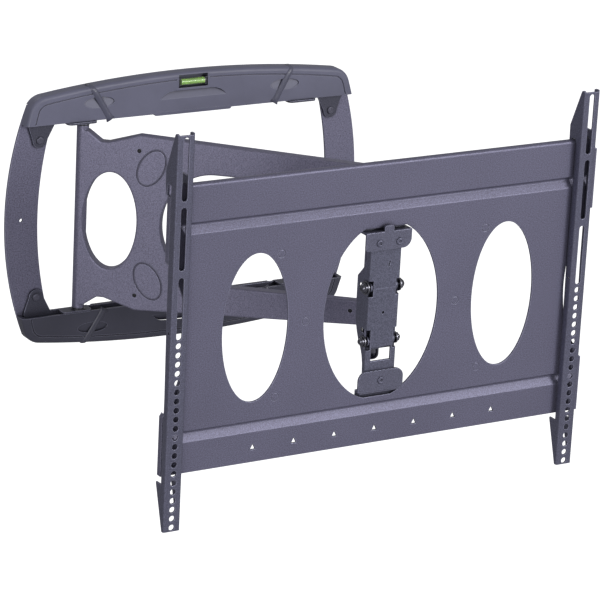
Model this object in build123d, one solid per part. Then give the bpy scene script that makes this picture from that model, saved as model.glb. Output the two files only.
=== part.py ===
from build123d import *

import os
from math import cos, radians, sin

# Full-motion television wall mount: wall ring, two arms, swivel and tilt head, plate and two rails.
#
# Millimetres. X runs along the wall to the right, Z is up and the room is at -Y. The wall is the
# plane Y = 0, and the origin is the middle of the wall ring. Depths from the wall are positive and
# turned into Y by the helpers. The arms stand partly open, at the angles given below.

# Wall ring
RING_SAG_Z = 135.0
STRIP_OUTER_X = 230.5
STRIP_OUTER_END_X = 206.0
STRIP_INNER_X = 190.0
STRIP_INNER_END_X = 168.0
STRIP_T = 3.0
STRIP_HOLE_X = 210.5
BAR_T = 2.5
BAR_X = 196.0
BAR_LOW_Z = 112.0
BAR_HIGH_Z = 140.0
RIVET_X = 190.5
RIVET_Z = 93.0
BOLT_X = 150.0
BOLT_Z = 128.0
BOLT_HOLE_R = 4.5

# Covers: half outline, and a front that leans out towards the top
COVER_LOW_Z = 113.8
COVER_LOW_X = 213.3
COVER_CORNER_X = 204.5
COVER_CORNER_Z = 144.3
COVER_TOP_Z = 159.6
COVER_CORNER_R = 22.0
COVER_LOW_DEPTH = 18.0
COVER_HIGH_DEPTH = 15.6
COVER_CROWN_R = 4.5
COVER_WALL = 2.6
COVER_MID_X = -1.6
LEVEL_X = -2.0

# Wall arm: it is hinged between two tabs of the crossbars
TAB_Z = (111.2, 113.7)
TAB_X = (125.0, 162.0)
TAB_DEPTH = 20.5
HINGE_BARREL_Z = 108.6
HINGE_X = -140.0
HINGE_DEPTH = 12.0
ARM_ANGLE = 40.2
ARM_LENGTH = 338.0
BARREL_R = 7.0
SHEET_T = 2.5
FLANGE_DEPTH = 12.0
ARM_CORNER = (67.4, 104.0)
ARM_END_Z = 93.5
FORK_Z = 65.5
PIN_R = 4.0
PIN_GAP = 0.05

# Front arm and swivel
PLATE_X = 7.5
SWIVEL_DEPTH = 413.5
SWIVEL_TUBE_R = 8.5
SWIVEL_TUBE_Z = 37.5
EAR_Z = 40.5
EAR_T = 3.0
FRONT_ARM_T = 9.0

# Television plate: its front face is at this depth
FACE_DEPTH = 430.0
PLATE_LEFT_X = -259.5
PLATE_RIGHT_X = 265.0
PLATE_END_X = 256.0
END_TOP_Z = 152.5
PLATE_TOP_Z = 164.4
PLATE_LOW_Z = -149.7
GROOVE_TOP = (123.2, 120.6, 118.6, 110.6)
GROOVE_LOW = (-103.2, -105.8, -107.8, -115.8)
GROOVE_DEPTH = 4.5
SIDE_OVAL = (39.4, 81.7)
SIDE_OVAL_X = 153.5
END_OVAL_X = 274.0
MID_OVAL = (71.0, 99.5)
MID_TOP_Z = 92.7
MID_LOW_Z = -96.5
TRIANGLE_PITCH = 50.0
TRIANGLE_Z = -132.7

# Tilt head, in heights and distances in front of the plate's face
HEAD_HALF_X = 19.0
HEAD_T = 2.0
WEB_FRONT = 4.0
TILT_FRONT = -2.0
PIVOT_Z = -33.0
SLOT_BOLT_Z = 27.0
TILT_STEPS = (-2.2, 12.2)

# Rails
LEFT_RAIL_X = -249.5
RIGHT_RAIL_X = 245.5
RAIL_HALF_X = 10.0
RAIL_T = 2.0
RAIL_FRONT = 11.0
RAIL_BACK = 0.6
HOOK_BACK = -12.0
RAIL_TOP_Z = 221.2
RAIL_LOW_Z = -208.5
HOLE_R = 3.3
HOLE_PITCH = 10.0
HOLE_COUNT = 21
FIRST_HOLE_Z = -4.0
SLOT_LENGTH = 67.0
SLOT_Z = (184.0, 110.5, 36.0)


def save(shape, name):
    """Write one node."""
    shape.label = name
    export_step(shape, f"parts/{name}.step")


def save_group(solids, name):
    """Write several like solids as one node."""
    save(Compound(children=list(solids)), name)


def front(sketch, depth_from, depth_to):
    """Extrude a sketch drawn in X and Z between two depths from the wall."""
    return extrude(Plane.XZ.offset(depth_from) * sketch, depth_to - depth_from)


def side(points, x_from, x_to):
    """Extrude a profile of (depth, z) points along X."""
    face = make_face(Polyline(*[(depth, z) for depth, z in points], close=True))
    plane = Plane(origin=(x_from, 0, 0), x_dir=(0, -1, 0), z_dir=(-1, 0, 0))
    return extrude(plane * face, -(x_to - x_from))


def block(x_from, x_to, depth_from, depth_to, z_from, z_to):
    """A box given by its limits."""
    size = (x_to - x_from, depth_to - depth_from, z_to - z_from)
    middle = ((x_from + x_to) / 2, -(depth_from + depth_to) / 2, (z_from + z_to) / 2)
    return Pos(*middle) * Box(*size)


def upright(x, depth, radius, z_from, z_to):
    """A vertical cylinder."""
    return Pos(x, -depth, (z_from + z_to) / 2) * Cylinder(radius, z_to - z_from)


def ring(x, depth, outer, inner, z_from, z_to):
    """A vertical tube."""
    return upright(x, depth, outer, z_from, z_to) - upright(x, depth, inner, z_from - 1, z_to + 1)


def mirror_z(shape):
    return mirror(shape, Plane.XY)


def mirror_x(shape):
    return mirror(shape, Plane.YZ)


def swing_plane(x, depth, angle):
    """A plane along an arm: local x runs along the arm, local y up, local z to its face side."""
    c, s = cos(radians(angle)), sin(radians(angle))
    return Plane(origin=(x, -depth, 0), x_dir=(c, -s, 0), z_dir=(-s, -c, 0))


def dome_screw(x, z, depth, radius, height, socket_r):
    """The domed head of a screw or rivet that faces the room, with a hexagon socket if asked."""
    head = Pos(x, -depth - height / 2, z) * Rot(90, 0, 0) * Cylinder(radius, height)
    head = fillet(head.edges().sort_by(Axis.Y)[0], height * 0.8)
    if socket_r:
        socket = front(Pos(x, z) * RegularPolygon(socket_r, 6), depth + height * 0.35, depth + height + 1)
        head = head - socket
    return head


# ---- wall ring -------------------------------------------------------------------------------


def side_strip():
    """Left strip: bowed sheet steel with one small fixing hole and two rivet holes."""
    outer = ThreePointArc(
        (-STRIP_OUTER_END_X, RING_SAG_Z), (-STRIP_OUTER_X, 0), (-STRIP_OUTER_END_X, -RING_SAG_Z)
    )
    inner = ThreePointArc(
        (-STRIP_INNER_END_X, -RING_SAG_Z), (-STRIP_INNER_X, 0), (-STRIP_INNER_END_X, RING_SAG_Z)
    )
    low = Line((-STRIP_OUTER_END_X, -RING_SAG_Z), (-STRIP_INNER_END_X, -RING_SAG_Z))
    high = Line((-STRIP_INNER_END_X, RING_SAG_Z), (-STRIP_OUTER_END_X, RING_SAG_Z))
    sketch = make_face([outer, low, inner, high])
    sketch -= Pos(-STRIP_HOLE_X, 0) * Circle(2.2)
    for z in (-RIVET_Z, RIVET_Z):
        sketch -= Pos(-RIVET_X, z) * Circle(2.45)
    return front(sketch, 0, STRIP_T)


def crossbar():
    """Top bar: flat steel with riveted end tabs, stiffening folds, bolt pads and a hinge pin lug."""
    half = Polyline(
        (0, BAR_LOW_Z), (124, BAR_LOW_Z), (124, TAB_Z[0]), (172, TAB_Z[0]), (181.5, RIVET_Z), (199.5, RIVET_Z),
        (206, BAR_LOW_Z),         (203, 122), (BAR_X, 131), (186, 138), (176, BAR_HIGH_Z), (0, BAR_HIGH_Z), close=True,
    )  # fmt: skip
    half = make_face(half) + Pos(RIVET_X, RIVET_Z) * Circle(9)
    web = half + mirror(half, Plane.YZ)
    for x in (-BOLT_X, BOLT_X):
        web -= Pos(x, BOLT_Z) * Circle(BOLT_HOLE_R)
    for x in (-RIVET_X, RIVET_X):
        web -= Pos(x, RIVET_Z) * Circle(2.45)
    bar = front(web, STRIP_T, STRIP_T + BAR_T)
    for x in (-BOLT_X, BOLT_X):
        bar += front(Pos(x, BOLT_Z) * (Circle(9) - Circle(BOLT_HOLE_R)), 0, STRIP_T)
    bar += block(-118, 118, 0, STRIP_T + BAR_T, BAR_LOW_Z, BAR_LOW_Z + BAR_T)
    bar += block(-176, 176, 0, STRIP_T + BAR_T, BAR_HIGH_Z - BAR_T, BAR_HIGH_Z)
    for sign in (-1, 1):
        near, far = sorted((sign * TAB_X[0], sign * TAB_X[1]))
        tab = block(near, far, STRIP_T, TAB_DEPTH, *TAB_Z)
        bar += fillet(tab.edges().filter_by(Axis.Z).sort_by(Axis.Y)[:2], 5)
        bar -= upright(sign * HINGE_X, HINGE_DEPTH, PIN_R + PIN_GAP, 100, 125)
    return bar


def cover_outline(inset):
    """Face of a cover drawn in X and Z, inset all round."""
    low_x = COVER_LOW_X - inset
    corner_x = COVER_CORNER_X - inset
    corner_z = COVER_CORNER_Z - inset
    low_z = COVER_LOW_Z - (10 if inset else 0)
    left = Line((-low_x, low_z), (-corner_x, corner_z))
    top = ThreePointArc((-corner_x, corner_z), (0, COVER_TOP_Z - inset), (corner_x, corner_z))
    right = Line((corner_x, corner_z), (low_x, low_z))
    low = Line((low_x, low_z), (-low_x, low_z))
    sketch = make_face([left, top, right, low])
    corners = sketch.vertices().sort_by(Axis.Y)[-2:]
    return fillet(corners, COVER_CORNER_R - inset)


def cover_depth(z):
    """Depth of the cover's leaning front at a height."""
    share = (z - COVER_LOW_Z) / (COVER_TOP_Z - COVER_LOW_Z)
    return COVER_LOW_DEPTH + share * (COVER_HIGH_DEPTH - COVER_LOW_DEPTH)


def cover_block(inset, grow=0.0):
    """Solid inside the cover's outer skin, cut back by an inset or grown."""
    low, high = COVER_LOW_Z - 12, COVER_TOP_Z + 8
    lean = [
        (0, low), (cover_depth(low) - inset + grow, low), (cover_depth(high) - inset + grow, high), (0, high),
    ]  # fmt: skip
    body = front(cover_outline(inset - grow), -1 if inset else 0, 45) & side(lean, -240, 240)
    crown = [e for e in body.edges() if e.center().Y < -13 and e.center().Z > COVER_LOW_Z + 4]
    return fillet(crown, COVER_CROWN_R - inset + grow) if COVER_CROWN_R > inset else body


def dome():
    """Outline of the hand recess in the middle of a cover."""
    left = Line((-51, 108), (-47, 122))
    rise = ThreePointArc((-47, 122), (-39, 134), (-26, 138.8))
    top = ThreePointArc((-26, 138.8), (0, 140), (26, 138.8))
    fall = ThreePointArc((26, 138.8), (39, 134), (47, 122))
    right = Line((47, 122), (51, 108))
    return make_face([left, rise, top, fall, right, Line((51, 108), (-51, 108))])


def clip_band(grow):
    """A slanting band across a cover's left half, seen from the front, about the cover's middle."""
    half = 4.5 + grow
    points = [(-141.2 - half, 172), (-141.2 + half, 172), (-103.5 + half, 108), (-103.5 - half, 108)]
    return front(make_face(Polyline(*points, close=True)), -2, 60)


def cover():
    """Moulded cover without the level: a shell open towards the wall and the middle of the ring."""
    shell = cover_block(0) - cover_block(COVER_WALL)
    for sign in (-1, 1):
        low_x, high_x = sorted((sign * 150, sign * 240))
        shell -= block(low_x, high_x, -1, STRIP_T + 0.1, 90, RING_SAG_Z + 1)
    slope = side([(9, 109), (19, 109), (19, 126.2), (11.8, 141), (9, 141)], -60, 60)
    recess = Pos(COVER_MID_X, 0, 0) * front(dome(), 9, 40)
    shell = shell - recess + (recess & slope & cover_block(0))
    lip = block(COVER_MID_X - 50, COVER_MID_X + 50, 9, 18, COVER_LOW_Z - 2.2, COVER_LOW_Z + 2)
    shell += chamfer(lip.edges().filter_by(Axis.Y), 1.5)
    seam = cover_outline(7.2) - cover_outline(8.6)
    shell -= front(seam & Pos(0, 145) * Rectangle(500, 60), 0, 60) - cover_block(0.9)
    kept = side([(0, 100), (18, 100), (17.4, 126.5), (14.2, 141.5), (0, 141.5)], -200, 200)
    for x in (-121, 121):
        shell -= front(Pos(x + COVER_MID_X, 134.4) * Ellipse(19.0, 6.3), 13, 40) - kept
    return shell


def level_pocket(piece):
    """Cut the level's window in the top front edge and close it behind."""
    box = block(LEVEL_X - 21.5, LEVEL_X + 21.5, 5.5, 40, 139, 158) & cover_block(0)
    return piece + box - block(LEVEL_X - 19, LEVEL_X + 19, 8, 45, 141.6, 156.6)


def cover_clips():
    """Two thin straps that lie over a cover's top and front."""
    skin = cover_block(0, 1.5) - cover_block(0, 0.02) - block(-240, 240, -5, 4, 90, 180)
    skin &= block(-240, 240, 4, 60, 116, 180)
    band = clip_band(0)
    return [skin & Pos(COVER_MID_X, 0, 0) * piece for piece in (band, mirror_x(band))]


def wall_ring():
    strip = side_strip()
    save(strip, "left_side_strip")
    save(mirror_x(strip), "right_side_strip")
    bar = crossbar()
    save(bar, "top_crossbar")
    save(mirror_z(bar), "bottom_crossbar")
    plain = cover()
    save(level_pocket(plain), "top_cover")
    save(mirror_z(plain), "bottom_cover")
    clips = cover_clips()
    save_group(clips, "top_cover_clips")
    save_group([mirror_z(clip) for clip in clips], "bottom_cover_clips")
    rivets = []
    for x in (-RIVET_X, RIVET_X):
        for z in (-RIVET_Z, RIVET_Z):
            shank = front(Pos(x, z) * Circle(2.4), 0.3, STRIP_T + BAR_T)
            rivets.append(shank + dome_screw(x, z, STRIP_T + BAR_T, 4.5, 1.8, 0))
    save_group(rivets, "corner_rivets")


def spirit_level():
    """Vial with green fluid and a bubble, in two end holders."""
    place = Pos(LEVEL_X, -13, 147.8) * Rot(0, 90, 0)
    tube = Cylinder(4.0, 32) - Cylinder(3.3, 30)
    save(place * tube, "level_vial")
    bubble = Pos(1.1, 0, 0) * Cylinder(1.8, 7)
    bubble = fillet(bubble.edges(), 1.7)
    save(place * (Cylinder(3.28, 29.9) - bubble), "level_fluid")
    holders = []
    for x in (LEVEL_X - 17.5, LEVEL_X + 17.5):
        body = block(x - 1.4, x + 1.4, 8.0, 15.0, 143.4, 152.2)
        holders.append(body)
    save_group(holders, "level_holders")


def headed_pin(x, depth, reach, name, head_r=6.5):
    """A pin with a head above and a snap ring below, for lugs that end at a height of reach."""
    pin = upright(x, depth, PIN_R, -reach - 5, reach + 0.2)
    pin += fillet(upright(x, depth, head_r, reach + 0.2, reach + 3.2).edges().sort_by(Axis.Z)[-1], 1.0)
    pin -= ring(x, depth, PIN_R + 1, PIN_R - 0.8, -reach - 1.6, -reach - 0.6)
    save(pin, f"{name}_pin")
    clip = ring(x, depth, PIN_R + 2.6, PIN_R - 0.75, -reach - 1.5, -reach - 0.7)
    clip -= block(x - 1.6, x + 1.6, depth + 0.5, depth + 9, -reach - 3, -reach + 1)
    save(clip, f"{name}_pin_clip")


def bushes(x, depth, sleeve_r, pin_r, flange_r, face_z, name):
    """Two flanged plastic bushes at the ends of a barrel."""
    top = ring(x, depth, sleeve_r, pin_r, face_z - 14, face_z + 1.5)
    top += ring(x, depth, flange_r, pin_r, face_z, face_z + 1.5)
    save_group([top, mirror_z(top)], name)


def washers(x, depth, outer, pin_r, z_from, z_to, name):
    """Two steel washers, one above and one below."""
    top = ring(x, depth, outer, pin_r, z_from, z_to)
    save_group([top, mirror_z(top)], name)


# ---- wall arm --------------------------------------------------------------------------------


def fork_cut(inset):
    """Long opening of the wall arm, with a half-oval inner end and an open outer end."""
    high = FORK_Z - inset
    start = 156.4
    shape = Pos(start, 0) * Ellipse(61.5 - inset, high)
    shape += Pos((start + ARM_LENGTH + 20) / 2, 0) * Rectangle(ARM_LENGTH + 20 - start, 2 * high)
    return shape


def wall_arm_outline(inset):
    """Outer edge of the wall arm's sheet, inset all round but at its two barrels."""
    corner_s, corner_z = ARM_CORNER
    upper = [
        (0, 104 - inset), (7 + 0.2 * inset, 104 - inset), (23, 92.6 - inset), (31, 92.6 - inset),
        (corner_s, corner_z - inset), (ARM_LENGTH, ARM_END_Z - inset),
    ]  # fmt: skip
    lower = [(s, -z) for s, z in reversed(upper)]
    sketch = make_face(Polyline(*upper, *lower, close=True))
    notch = [v for v in sketch.vertices() if 15 < v.X < 35]
    return fillet(notch, 4)


def lens(inset):
    return Pos(35.4, 0) * Ellipse(31.2 + inset, 57.5 + inset)


def wall_arm_sheet():
    """Pressed sheet with its edges and openings folded back, and rolled barrels at both ends."""
    local = swing_plane(HINGE_X, HINGE_DEPTH, ARM_ANGLE)
    back = BARREL_R - FLANGE_DEPTH
    tray = extrude(wall_arm_outline(0) - lens(0) - fork_cut(0), FLANGE_DEPTH)
    hollow = wall_arm_outline(SHEET_T) - lens(SHEET_T) - fork_cut(-SHEET_T)
    hollow &= Pos(ARM_LENGTH / 2, 0) * Rectangle(ARM_LENGTH - 2, 300)
    tray -= extrude(hollow, FLANGE_DEPTH - SHEET_T)
    face_edges = [
        e for e in tray.edges()
        if abs(e.center().Z - FLANGE_DEPTH) < 0.01 and 1 < e.center().X < ARM_LENGTH - 1
    ]  # fmt: skip
    tray = fillet(face_edges, 1.8)
    for sign in (1, -1):
        outer = Pos(82.3, sign * 67.3) * Rot(0, 0, -sign * 27.7) * Ellipse(15.3, 23.9)
        inner = Pos(82.3, sign * 67.3) * Rot(0, 0, -sign * 27.7) * Ellipse(13.3, 21.9)
        tray -= Pos(0, 0, FLANGE_DEPTH - 1.2) * extrude(outer - inner, 2)
        for s, z in ((67.5, 86.0), (317.8, 77.6)):
            tray -= extrude(Pos(s, sign * z) * Circle(2.4), 30)
    sheet = local * (Pos(0, 0, back) * tray)
    elbow_x, elbow_depth = elbow_place()
    sheet += upright(HINGE_X, HINGE_DEPTH, BARREL_R, -HINGE_BARREL_Z, HINGE_BARREL_Z)
    sheet += upright(elbow_x, elbow_depth, BARREL_R, FORK_Z, ARM_END_Z)
    sheet += upright(elbow_x, elbow_depth, BARREL_R, -ARM_END_Z, -FORK_Z)
    sheet -= upright(HINGE_X, HINGE_DEPTH, 5.05, -130, 130)
    sheet -= upright(elbow_x, elbow_depth, PIN_R + PIN_GAP, -130, 130)
    return sheet


def arm_plug(s, z):
    """Blind plug in one of the arm's cable tie holes, sunk a little under the face."""
    plug = Pos(0, 0, BARREL_R - SHEET_T - 0.5) * extrude(Pos(s, z) * Circle(2.36), 1.8)
    rim = Pos(0, 0, BARREL_R - SHEET_T - 2.0) * extrude(Pos(s, z) * Circle(3.4), 1.6)
    return plug + rim


def elbow_place():
    """X and depth of the elbow pin."""
    c, s = cos(radians(ARM_ANGLE)), sin(radians(ARM_ANGLE))
    return HINGE_X + ARM_LENGTH * c, HINGE_DEPTH + ARM_LENGTH * s


def wall_arm():
    save(wall_arm_sheet(), "wall_arm_plate")
    elbow_x, elbow_depth = elbow_place()
    pin = upright(HINGE_X, HINGE_DEPTH, PIN_R, -TAB_Z[1] - 0.05, TAB_Z[1] + 0.05)
    save(chamfer(pin.edges(), 0.8), "wall_hinge_pin")
    bushes(HINGE_X, HINGE_DEPTH, 5.0, PIN_R + PIN_GAP, BARREL_R, HINGE_BARREL_Z, "wall_hinge_bushes")
    washers(HINGE_X, HINGE_DEPTH, 8.0, PIN_R + PIN_GAP, 110.15, 111.15, "wall_hinge_washers")
    headed_pin(elbow_x, elbow_depth, ARM_END_Z + 0.5, "elbow")
    plugs = []
    for s, z in ((67.5, 86.0), (317.8, 77.6)):
        for sign in (1, -1):
            plugs.append(swing_plane(HINGE_X, HINGE_DEPTH, ARM_ANGLE) * arm_plug(s, sign * z))
    save_group(plugs, "cable_hole_plugs")


# ---- front arm -------------------------------------------------------------------------------


def front_arm_sheet(length):
    """Pressed front arm between its two tubes, drawn along local x."""
    half_at_elbow, half_at_head = 58.0, 34.0
    outline = [(6, half_at_elbow), (45, half_at_elbow), (length - 45, half_at_head), (length - 6, half_at_head)]
    outline += [(s, -z) for s, z in reversed(outline)]
    shape = make_face(Polyline(*outline, close=True))
    shape -= Pos(length / 2, 0) * Ellipse(52, 30)
    wall = SHEET_T
    inner = [(6, half_at_elbow - wall), (45, half_at_elbow - wall)]
    inner += [(length - 45, half_at_head - wall), (length - 6, half_at_head - wall)]
    inner += [(s, -z) for s, z in reversed(inner)]
    pocket = make_face(Polyline(*inner, close=True)) - Pos(length / 2, 0) * Ellipse(54.5, 32.5)
    tray = extrude(shape, FRONT_ARM_T) - Pos(0, 0, wall) * extrude(pocket, FRONT_ARM_T)
    face_edges = [e for e in tray.edges() if abs(e.center().Z) < 0.01 and 8 < e.center().X < length - 8]
    return fillet(face_edges, 1.8)


def front_arm():
    elbow_x, elbow_depth = elbow_place()
    run_x, run_depth = PLATE_X - elbow_x, SWIVEL_DEPTH - elbow_depth
    length = (run_x**2 + run_depth**2) ** 0.5
    local = Plane(
        origin=(elbow_x, -elbow_depth, 0),
        x_dir=(run_x / length, -run_depth / length, 0),
        z_dir=(-run_depth / length, -run_x / length, 0),
    )
    sheet = local * (Pos(0, 0, -FRONT_ARM_T / 2) * front_arm_sheet(length))
    elbow_room = upright(elbow_x, elbow_depth, 8.0, -120, 120)
    head_room = upright(PLATE_X, SWIVEL_DEPTH, SWIVEL_TUBE_R, -120, 120)
    save(sheet - elbow_room - head_room, "front_arm_plate")
    save(ring(elbow_x, elbow_depth, 8.0, 6.05, -62, 62), "front_arm_elbow_tube")
    head_tube = ring(PLATE_X, SWIVEL_DEPTH, SWIVEL_TUBE_R, 6.05, -SWIVEL_TUBE_Z, SWIVEL_TUBE_Z)
    save(head_tube, "front_arm_swivel_tube")
    bushes(elbow_x, elbow_depth, 6.0, PIN_R + PIN_GAP, 8.0, 62.0, "elbow_bushes")
    washers(elbow_x, elbow_depth, 8.0, PIN_R + PIN_GAP, 63.8, 65.2, "elbow_washers")
    bushes(PLATE_X, SWIVEL_DEPTH, 6.0, PIN_R + PIN_GAP, SWIVEL_TUBE_R, SWIVEL_TUBE_Z, "swivel_bushes")


# ---- swivel bracket --------------------------------------------------------------------------


def at_front(points):
    """Turn (distance in front of the plate's face, z) points into (depth, z) points."""
    return [(FACE_DEPTH + forward, z) for forward, z in points]


def swivel_bracket():
    """Folded bracket: two cheeks with lugs for the tilt bolts, a web behind them and two ears."""
    top = EAR_Z + EAR_T
    cheek = [
        (-9.5, -top), (-2.5, -top), (-2.0, -38.5), (-1.5, -23), (-1.5, 20), (-2.5, 33), (-2.5, top), (-9.5, top),
    ]  # fmt: skip
    outer_x, inner_x = 16.5, 14.5
    bracket = side(at_front(cheek), PLATE_X - outer_x, PLATE_X - inner_x)
    bracket += side(at_front(cheek), PLATE_X + inner_x, PLATE_X + outer_x)
    for z in (PIVOT_Z, SLOT_BOLT_Z):
        for sign in (-1, 1):
            lug = Pos(PLATE_X + sign * 15.5, -(FACE_DEPTH + TILT_FRONT), z) * Rot(0, 90, 0) * Cylinder(5.6, 2)
            bracket += lug
    bracket += block(PLATE_X - outer_x, PLATE_X + outer_x, FACE_DEPTH - 7.2, FACE_DEPTH - 5.4, -36, 36)
    axis_front = SWIVEL_DEPTH - FACE_DEPTH
    for sign in (1, -1):
        low, high = sorted((sign * EAR_Z, sign * top))
        bracket += block(PLATE_X - outer_x, PLATE_X + outer_x, FACE_DEPTH - 9.5, FACE_DEPTH - 2.5, low, high)
        ear = [(-16.5, -9.5), (16.5, -9.5), (8.5, axis_front), (-8.5, axis_front)]
        shape = make_face(Polyline(*[(PLATE_X + x, -(FACE_DEPTH + forward)) for x, forward in ear], close=True))
        shape += Pos(PLATE_X, -SWIVEL_DEPTH) * Circle(8.5)
        bracket += Pos(0, 0, low) * extrude(shape, high - low)
    bracket -= upright(PLATE_X, SWIVEL_DEPTH, PIN_R + PIN_GAP, -80, 80)
    for z in (PIVOT_Z, SLOT_BOLT_Z):
        bracket -= cross_hole(TILT_FRONT, z, 3.05)
    return bracket


def slot_path():
    """Places of the upper bolt in the channel, as distances from its place at rest."""
    reach = SLOT_BOLT_Z - PIVOT_Z
    low, high = TILT_STEPS
    places = []
    for step in range(25):
        turn = radians(low + (high - low) * step / 24)
        places.append((-reach * sin(turn), -reach * (1 - cos(turn))))
    return places


def cross_hole(forward, z, radius):
    """A hole along X through the whole head."""
    return Pos(PLATE_X, -(FACE_DEPTH + forward), z) * Rot(0, 90, 0) * Cylinder(radius, 80)


def swivel():
    save(swivel_bracket(), "swivel_bracket")
    top = EAR_Z + EAR_T
    pin = upright(PLATE_X, SWIVEL_DEPTH, PIN_R, -top - 9, top + 0.1)
    head = upright(PLATE_X, SWIVEL_DEPTH, 7, top + 0.1, top + 3.4)
    pin += fillet(head.edges().sort_by(Axis.Z)[-1], 1.4)
    save(pin, "swivel_pin")
    nut = upright(PLATE_X, SWIVEL_DEPTH, 8.7, -top - 16, -top - 1.7)
    nut = fillet(nut.edges().sort_by(Axis.Z)[0], 6.0)
    save(nut - upright(PLATE_X, SWIVEL_DEPTH, PIN_R + 0.02, -top - 9.2, 0), "swivel_cap_nut")
    save(ring(PLATE_X, SWIVEL_DEPTH, 8.4, PIN_R + PIN_GAP, -top - 1.5, -top - 0.2), "swivel_nut_washer")
    washers(PLATE_X, SWIVEL_DEPTH, 8.5, PIN_R + PIN_GAP, 39.2, 40.3, "swivel_washers")
    for z, name, radius, ball in ((SLOT_BOLT_Z, "tilt_guide", 7.6, 5.2), (PIVOT_Z, "tilt_pivot", 6.4, 4.1)):
        save(cross_bolt(z, ball), f"{name}_bolt")
        save(bolt_nut(z, ball), f"{name}_nut")
        save_group(bolt_washers(z, radius), f"{name}_washers")


# ---- tilt head -------------------------------------------------------------------------------


def tilt_channel():
    """Channel that carries the plate: deep in the middle for the bolts, notched at its front corners."""
    web_back = WEB_FRONT - 2.5
    flank = [
        (WEB_FRONT, -87), (WEB_FRONT, 87.2), (-3.2, 87.2), (-3.2, 57), (-4.6, 55), (-8.3, 53.5), (-8.6, 48.5),
        (-20.6, 35.6), (-20.6, 7.5), (-19.7, -15), (-16.6, -25), (-12.4, -34.9), (-7.6, -41.5), (-4.2, -49),
        (-2.3, -58), (-1.7, -70), (-1.7, -87),
    ]  # fmt: skip
    channel = side(at_front(flank), PLATE_X - HEAD_HALF_X, PLATE_X + HEAD_HALF_X)
    bends = [e for e in channel.edges().filter_by(Axis.Z) if e.center().Y < -(FACE_DEPTH + WEB_FRONT - 0.01)]
    channel = fillet(bends, 2.4)
    inner = HEAD_HALF_X - HEAD_T
    channel -= block(PLATE_X - inner, PLATE_X + inner, FACE_DEPTH - 40, FACE_DEPTH + web_back, -120, 120)
    web = Pos(PLATE_X - 0.3, -47) * Rectangle(24.8, 15.6)
    for sign in (-1, 1):
        web += Pos(PLATE_X + sign * 17.5, 26.6) * Rectangle(7, 17.6)
        web += Pos(PLATE_X + sign * 17.6, -30.6) * Rectangle(7, 22.6)
    web += Pos(PLATE_X, -1) * Circle(1.5)
    channel -= front(web, FACE_DEPTH - 0.2, FACE_DEPTH + WEB_FRONT + 1)
    mark = Pos(PLATE_X + 4, 53) * SlotOverall(7, 2.2, rotation=78)
    channel -= front(mark, FACE_DEPTH + WEB_FRONT - 0.8, FACE_DEPTH + WEB_FRONT + 1)
    channel -= cross_hole(TILT_FRONT, PIVOT_Z, 3.05)
    for forward, lift in slot_path():
        channel -= cross_hole(TILT_FRONT + forward, SLOT_BOLT_Z + lift, 3.3)
    channel -= block(PLATE_X - 30, PLATE_X + 30, FACE_DEPTH - 9, FACE_DEPTH - 1.5, -23.5, -19)
    for x in (-10.6, 13.6):
        channel -= front_hole(x, 77.6, 2.55)
    return channel - front_hole(0.3, -76.5, 2.55)


def front_hole(x, z, radius):
    """A hole through the head from the front, at an X counted from the plate's middle."""
    return front(Pos(PLATE_X + x, z) * Circle(radius), FACE_DEPTH - 30, FACE_DEPTH + 30)


def hook_plate():
    """Front lip over the plate's upper edge: a shelf under the edge, a rear lip and one front lug."""
    shape = make_face(Polyline(
        (-27.4, 89.9), (-5.3, 89.9), (-5.3, 96.2), (6.1, 96.2), (6.1, 89.9), (28.6, 89.9),
        (28.6, 69.7), (-27.4, 69.7), close=True,
    ))  # fmt: skip
    shape = fillet(shape.vertices().sort_by_distance((28.6, 69.7))[0], 10)
    shape = fillet(shape.vertices().sort_by_distance((-27.4, 69.7))[0], 3)
    shape = fillet([v for v in shape.vertices() if v.Y > 95], 2.5)
    near = FACE_DEPTH + WEB_FRONT
    plate = front(Pos(PLATE_X, 0) * shape, near, near + 2.5)
    plate += block(PLATE_X - 27.4, PLATE_X + 28.6, FACE_DEPTH - 6.8, near + 1, 87.4, 89.9)
    plate += block(PLATE_X - 25, PLATE_X + 26, FACE_DEPTH - 6.8, FACE_DEPTH - 4.6, 87.4, 97.5)
    for x in (-10.6, 13.6):
        plate -= front_hole(x, 77.6, 2.55)
    return plate


def latch_plate():
    """Lower catch that stops the plate from lifting off, with a return over the opening's edge."""
    shape = Pos(0.45, -76.5) * Rectangle(55.7, 22.8)
    shape = fillet(shape.vertices().sort_by(Axis.Y)[-2:], 10)
    near = FACE_DEPTH + WEB_FRONT
    plate = front(Pos(PLATE_X, 0) * shape, near, near + 2.5)
    plate += block(PLATE_X - 24, PLATE_X + 25, FACE_DEPTH - 6, near + 1, -90.4, -87.9)
    plate += block(PLATE_X - 24, PLATE_X + 25, FACE_DEPTH - 6, FACE_DEPTH - 3.6, -99.5, -87.9)
    for step in range(-3, 4):
        notch = Pos(PLATE_X + 1 + step * 5.2, -(near + 2.5), -65.1) * Rot(0, 45, 0) * Box(1.4, 1.2, 1.4)
        plate -= notch
    return plate - front_hole(0.3, -76.5, 2.55)


def head_screws():
    """Low domed socket screws of the hook plate and the latch plate."""
    near = FACE_DEPTH + WEB_FRONT + 2.5
    places = {"hook_screws": [(-10.6, 77.6), (13.6, 77.6)], "latch_screw": [(0.3, -76.5)]}
    for name, spots in places.items():
        screws = []
        for x, z in spots:
            shank = front(Pos(PLATE_X + x, z) * Circle(2.5), near - 9, near)
            screws.append(shank + dome_screw(PLATE_X + x, z, near, 4.0, 1.5, 1.9))
        save_group(screws, name)


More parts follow.
